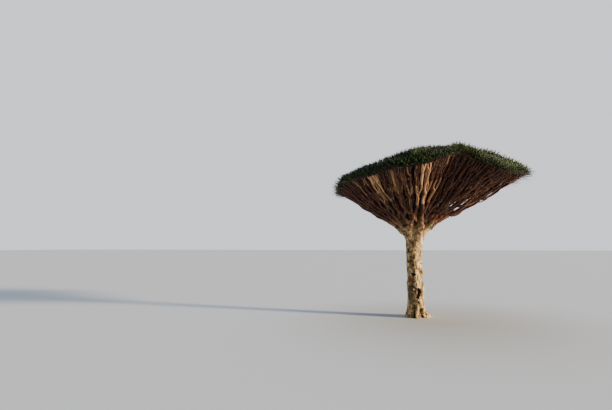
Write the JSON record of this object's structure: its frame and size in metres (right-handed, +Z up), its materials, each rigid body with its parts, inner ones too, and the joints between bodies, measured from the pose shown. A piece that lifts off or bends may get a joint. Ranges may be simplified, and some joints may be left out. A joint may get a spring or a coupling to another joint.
{
  "type": "dragon blood tree",
  "caption": "Whole umbrella-crowned dragon blood tree: a single stout trunk with a root flare, boughs that fork again and again, and a flat dense dome of sword-shaped leaf rosettes.",
  "frame": {"origin": "centre of the flat cut under the trunk, at ground level", "axes": "+Z up, the picture's viewer stands on the -Y side, and +X is to the viewer's right"},
  "size_m": [6.6285, 6.7408, 5.757],
  "materials": {
    "bark": "rough dry grey-cream trunk bark with shallow flutes, cracks and old scars",
    "limb_bark": "tan to red-brown bark of boughs and twigs, ringed by old leaf scars",
    "foliage": "stiff matt sword-shaped leaves, dark green with yellow-green young tufts"
  },
  "bodies": {
    "root": {"trunk": "bark", "bough_centre": "limb_bark", "bough_1": "limb_bark", "bough_2": "limb_bark", "bough_3": "limb_bark", "bough_4": "limb_bark", "bough_5": "limb_bark", "bough_6": "limb_bark", "bough_1_inner": "limb_bark", "bough_2_inner": "limb_bark", "bough_3_inner": "limb_bark", "bough_4_inner": "limb_bark", "bough_5_inner": "limb_bark", "bough_6_inner": "limb_bark", "bough_1_outer": "limb_bark", "bough_2_outer": "limb_bark", "bough_3_outer": "limb_bark", "bough_4_outer": "limb_bark", "bough_5_outer": "limb_bark", "bough_6_outer": "limb_bark", "crown_centre": "foliage", "crown_1_inner": "foliage", "crown_2_inner": "foliage", "crown_3_inner": "foliage", "crown_4_inner": "foliage", "crown_5_inner": "foliage", "crown_6_inner": "foliage", "crown_1_left": "foliage", "crown_2_left": "foliage", "crown_3_left": "foliage", "crown_4_left": "foliage", "crown_5_left": "foliage", "crown_6_left": "foliage", "crown_1_right": "foliage", "crown_2_right": "foliage", "crown_3_right": "foliage", "crown_4_right": "foliage", "crown_5_right": "foliage", "crown_6_right": "foliage"}
  },
  "joints": []
}
